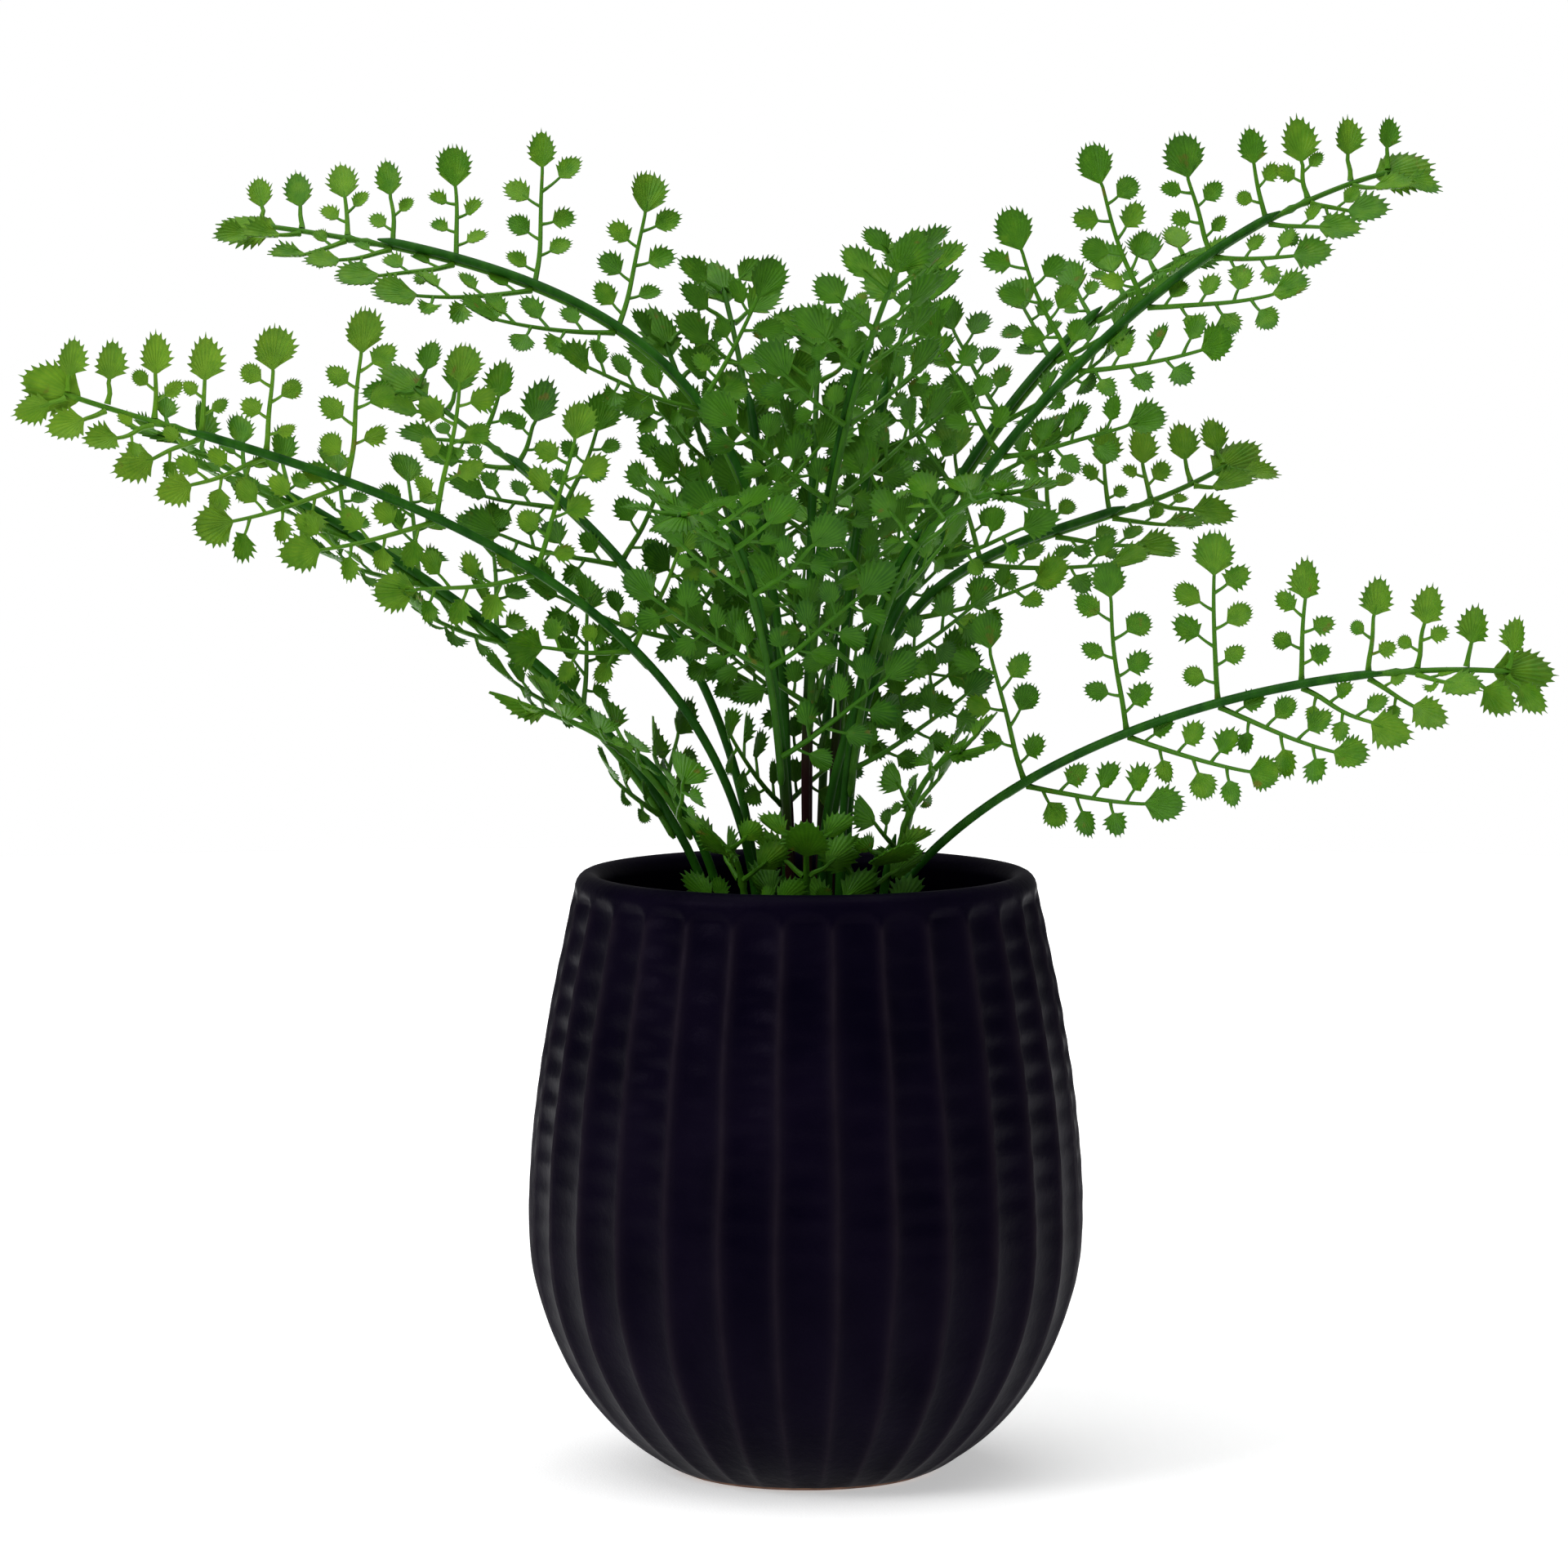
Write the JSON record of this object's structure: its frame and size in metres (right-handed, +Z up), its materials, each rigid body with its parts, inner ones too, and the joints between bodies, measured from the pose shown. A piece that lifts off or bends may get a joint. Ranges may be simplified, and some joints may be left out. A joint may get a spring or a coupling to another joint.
{
  "type": "potted fern",
  "caption": "Bushy maidenhair-style fern of moulded leaf sprays on coated wire stems, standing in a fluted dark ceramic pot filled with soil.",
  "frame": {"origin": "centre of the pot's flat foot, on the surface it stands on", "axes": "+Z up along the pot's axis; +X to the right and -Y towards the viewer when the plant is seen from its front"},
  "size_m": [0.4007, 0.2082, 0.3646],
  "materials": {
    "pot_glaze": "satin",
    "soil": "matte",
    "stem_coating": "satin",
    "leaf": "satin"
  },
  "bodies": {
    "root": {"pot": "pot_glaze", "soil": "soil", "stem_left_low": "stem_coating", "stem_right_low": "stem_coating", "stem_right_high": "stem_coating", "stem_left_high": "stem_coating", "stem_left_mid": "stem_coating", "stem_right_mid": "stem_coating", "stem_left_back": "stem_coating", "stem_right_back": "stem_coating", "stem_front_tall": "stem_coating", "stem_back_left_tall": "stem_coating", "stem_back_tall": "stem_coating", "stem_back_mid_tall": "stem_coating", "stem_back_right_tall": "stem_coating", "stem_front_left": "stem_coating", "stem_front_right": "stem_coating", "stem_left_short": "stem_coating", "stem_right_short": "stem_coating", "stem_back_low": "stem_coating", "stem_rim_left": "stem_coating", "stem_rim_front": "stem_coating", "stem_rim_right": "stem_coating", "leaves_left_low": "leaf", "leaves_right_low": "leaf", "leaves_right_high": "leaf", "leaves_left_high": "leaf", "leaves_left_mid": "leaf", "leaves_right_mid": "leaf", "leaves_left_back": "leaf", "leaves_right_back": "leaf", "leaves_front_tall": "leaf", "leaves_back_left_tall": "leaf", "leaves_back_tall": "leaf", "leaves_back_mid_tall": "leaf", "leaves_back_right_tall": "leaf", "leaves_front_left": "leaf", "leaves_front_right": "leaf", "leaves_left_short": "leaf", "leaves_right_short": "leaf", "leaves_back_low": "leaf", "leaves_rim_left": "leaf", "leaves_rim_front": "leaf", "leaves_rim_right": "leaf"}
  },
  "joints": []
}
